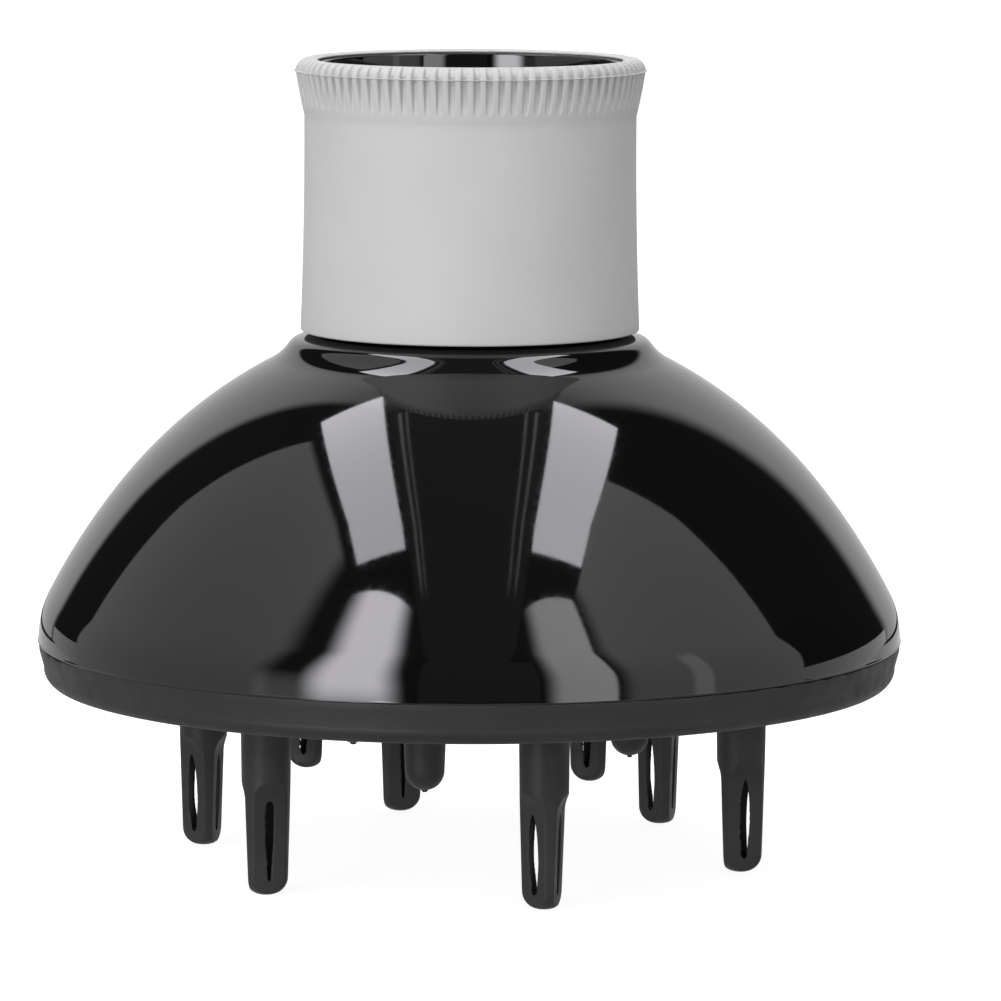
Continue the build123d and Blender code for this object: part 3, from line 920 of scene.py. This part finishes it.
def sheet(name, corner, along, up, arch, pinch):
    """A flat sheet whose UVs run from 0 to 1 along both sides."""
    corner, along, up = Vector(corner), Vector(along), Vector(up)
    cells = CARD_CELLS if arch or pinch else 1
    steps = np.linspace(0, 1, cells + 1).tolist()
    spots = [(x, z) for z in steps for x in steps]
    points = [corner + x * (1 - pinch * z) * along + z * (1 - arch * (2 * x - 1) ** 2) * up for x, z in spots]
    starts = [row * (cells + 1) + column for row in range(cells) for column in range(cells)]
    thing = flat_mesh(name, points, [(k, k + 1, k + cells + 2, k + cells + 1) for k in starts])
    layer = thing.data.uv_layers.new(name="UVMap")
    for loop, spot in zip(thing.data.loops, layer.data):
        spot.uv = spots[loop.vertex_index]
    return thing


def added_glow(name, radiance, soft, lean, tone):
    """A clear material that adds a glow to whatever is behind it."""
    made = bpy.data.materials.new(name)
    made.use_nodes = True
    tree = made.node_tree
    tree.nodes.clear()
    spot = tree.nodes.new("ShaderNodeTexCoord")
    split = tree.nodes.new("ShaderNodeSeparateXYZ")
    tree.links.new(spot.outputs["UV"], split.inputs["Vector"])
    left, right, foot, top = soft
    across, height = split.outputs["X"], split.outputs["Y"]
    edges = ((across, 0, left), (across, 1, 1 - right), (height, 0, foot), (height, 1, 1 - top))
    strength = reckon(tree, "MULTIPLY_ADD", across, lean[0] * radiance, radiance * (1 - 0.5 * sum(lean)))
    strength = reckon(tree, "MULTIPLY_ADD", height, lean[1] * radiance, strength)
    for source, start, end in edges:
        if start != end:
            strength = reckon(tree, "MULTIPLY", strength, span(tree, source, 0, 1, start, end, smooth=True))
    glow = tree.nodes.new("ShaderNodeEmission")
    glow.inputs["Color"].default_value = (*tone, 1)
    tree.links.new(strength, glow.inputs["Strength"])
    clear = tree.nodes.new("ShaderNodeBsdfTransparent")
    both = tree.nodes.new("ShaderNodeAddShader")
    tree.links.new(glow.outputs["Emission"], both.inputs[0])
    tree.links.new(clear.outputs["BSDF"], both.inputs[1])
    end = tree.nodes.new("ShaderNodeOutputMaterial")
    tree.links.new(both.outputs["Shader"], end.inputs["Surface"])
    return made


def card(name, corner, along, up, radiance, soft=(0, 0, 0, 0), lean=(0, 0), tone=(1, 1, 1),
         arch=0, pinch=0):
    """A glowing sheet that only reflections see. Cards that overlap add up.

    soft is the share of it over which the left, right, lower and upper edge fade. lean is how much
    brighter it grows from left to right and from foot to top. arch is the share of its height by
    which its upper corners are lower than the middle of its upper edge. pinch is the share of its
    width by which its upper right corner stands in."""
    thing = sheet(name, corner, along, up, arch, pinch)
    paint(thing, added_glow(name, radiance, soft, lean, tone))
    thing.visible_camera = False
    thing.visible_diffuse = False
    thing.visible_shadow = False


def upright(name, start, end, top, radiance, foot=CARD_FOOT, **look):
    """A card that stands between two points of the ground plan, start on its left as seen from the part."""
    along = (end[0] - start[0], end[1] - start[1], 0)
    card(name, (*start, foot), along, (0, 0, top - foot), radiance, **look)


def soft_light(name, centre, aim, size, radiance):
    """A soft light for the matte surfaces. Reflections don't show it."""
    light = bpy.data.lights.new(name, "AREA")
    light.shape = "RECTANGLE"
    light.size, light.size_y = size
    light.energy = radiance * pi * size[0] * size[1]
    thing = bpy.data.objects.new(name, light)
    bpy.context.scene.collection.objects.link(thing)
    thing.location = centre
    thing.rotation_euler = (Vector(aim) - Vector(centre)).to_track_quat("-Z", "Y").to_euler()
    thing.visible_camera = False
    thing.visible_glossy = False


def make_overhead():
    """Two long strips over the part, and the thin rails between them."""
    for side, low_x, high_x, low_y, high_y, radiance, lean in STRIPS:
        card(f"overhead_{side}", (low_x, low_y, OVERHEAD), (high_x - low_x, 0, 0), (0, high_y - low_y, 0),
             radiance, soft=(0.03, 0.03, 0.015, 0.015), lean=(0, lean), tone=VIOLET)
    for number, (x, width, radiance) in enumerate(RAILS):
        card(f"rail_{number + 1}", (x - width / 2, RAIL_FRONT, OVERHEAD), (width, 0, 0),
             (0, RAIL_BACK - RAIL_FRONT, 0), radiance, soft=(0, 0, 0.15, 0))


def make_cards():
    make_overhead()
    upright("front_box_left", around(FRONT, -45), around(FRONT, -14.5), BOX_TOP + 0.04, 11.0, foot=-0.35,
            soft=(0.34, 0.30, 0.28, 0.012), tone=VIOLET, arch=0.06, pinch=0.17)
    upright("front_box_right", around(FRONT, 18.3), around(FRONT, 38.3), BOX_TOP + 0.03, 4.0,
            soft=(0.30, 0.06, 0, 0.012), lean=(0.06, 0.14), arch=0.05)
    upright("beside_box_left", (-SIDE, -0.55), around(FRONT, -34), 0.4, 0.95, soft=(0.2, 0.3, 0, 0.8))
    # a tall panel on each side, and a low one that goes on from it to the back
    upright("side_left", (-SIDE, LEFT_END), (-SIDE, -0.75), 1.74, 0.97,
            soft=(0, 0.16, 0, 0.06), lean=(0.36, 0.5))
    upright("side_left_low", (-SIDE, BACK), (-SIDE, LEFT_END), 0.045, 0.62)
    upright("side_right", (SIDE, -1.15), (SIDE, RIGHT_END), 1.85, 1.15,
            soft=(0.18, 0, 0, 0), lean=(-0.1, 0.45))
    upright("side_right_strip", (SIDE - 0.01, -0.56), (SIDE - 0.01, -0.41), 0.70, 0.75,
            soft=(0.3, 0.2, 0, 0.25))
    upright("side_right_low", (SIDE, RIGHT_END), (SIDE, BACK), 0.03, 0.85)
    upright("backdrop", (1.0, BACK), (-0.92, BACK), 3.8, 1.3, soft=(0.12, 0.06, 0, 0.78), lean=(0, 1.0))
    # the dim room, between the boxes and over the rails
    upright("room_front", (-0.32, -1.4), (0.45, -1.4), 1.08, ROOM_GLOW)
    card("room_top", (-0.25, -1.3, OVERHEAD + 0.02), (0.5, 0, 0), (0, 2.0, 0), ROOM_GLOW)
    # the pale floor, as reflections see it
    card("floor_glow", (-GLOW_HALF, -GLOW_HALF, -0.0005), (2 * GLOW_HALF, 0, 0), (0, 2 * GLOW_HALF, 0), 0.72)


def make_floor():
    """A pale floor that only the camera sees. It catches a faint shadow, and its glow lights nothing."""
    made, tree, shader = material("pale_floor")
    shader.inputs["Base Color"].default_value = (0.34, 0.34, 0.34, 1)
    shader.inputs["Roughness"].default_value = 0.9
    shader.inputs["Specular IOR Level"].default_value = 0.1
    shader.inputs["Emission Color"].default_value = (1, 1, 1, 1)
    shader.inputs["Emission Strength"].default_value = 0.90
    ring = [(FLOOR * cos(t), FLOOR * sin(t), 0) for t in steps_round(FLOOR_STEPS)]
    floor = flat_mesh("pale_floor", ring, [tuple(range(FLOOR_STEPS))])
    floor.visible_glossy = False
    floor.visible_diffuse = False
    paint(floor, made)


def make_world():
    """White to the camera, dim to matte surfaces, and nearly black in reflections."""
    world = bpy.data.worlds.new("studio")
    bpy.context.scene.world = world
    world.use_nodes = True
    tree = world.node_tree
    path = tree.nodes.new("ShaderNodeLightPath")
    strength = reckon(tree, "MULTIPLY_ADD", path.outputs["Is Camera Ray"],
                      ROOM_TO_CAMERA - ROOM_TO_MATTE, ROOM_TO_MATTE)
    strength = reckon(tree, "MULTIPLY_ADD", path.outputs["Is Glossy Ray"],
                      ROOM_TO_GLOSS - ROOM_TO_MATTE, strength)
    background = tree.nodes["Background"]
    background.inputs["Color"].default_value = (1, 1, 1, 1)
    tree.links.new(strength, background.inputs["Strength"])


def make_lights():
    middle = (0, 0, 0.09)
    on_sleeve = (0, 0, 0.14)
    soft_light("key", (*around(1.3, -46), 0.45), middle, size=(0.8, 1.0), radiance=1.85)
    soft_light("bounce", (-0.3, -0.85, 0.03), on_sleeve, size=(1.4, 0.9), radiance=0.95)
    soft_light("top", (0, 0.05, 1.3), middle, size=(1.2, 1.2), radiance=2.85)


def make_camera():
    """Camera at the viewing angle of the original, 7.3 degrees down from 1.13 m in front."""
    across = Vector((cos(YAW), -sin(YAW), 0))
    ahead = Vector((sin(YAW) * cos(PITCH), cos(YAW) * cos(PITCH), -sin(PITCH)))
    up = across.cross(ahead)
    right = across * cos(ROLL) + up * sin(ROLL)
    top = up * cos(ROLL) - across * sin(ROLL)
    data = bpy.data.cameras.new("camera")
    data.sensor_width = CAMERA_SENSOR
    data.lens = CAMERA_LENS
    data.clip_start, data.clip_end = 0.05, 30
    camera = bpy.data.objects.new("camera", data)
    bpy.context.scene.collection.objects.link(camera)
    turned_to = Matrix((right, top, -ahead)).transposed().to_4x4()
    camera.matrix_world = Matrix.Translation(CAMERA_PLACE) @ turned_to
    bpy.context.scene.camera = camera


make_camera()
paint(make_bowl(), gloss_black())
paint(make_sleeve(), grey_elastomer())
paint(make_comb(), matte_charcoal("matte_comb", *COMB_CHARCOAL))
finger_look = matte_charcoal("matte_fingers", *FINGER_CHARCOAL)
for finger in make_fingers():
    paint(finger, finger_look)
make_cards()
make_floor()
make_world()
make_lights()
bpy.context.scene.view_settings.view_transform = "Standard"
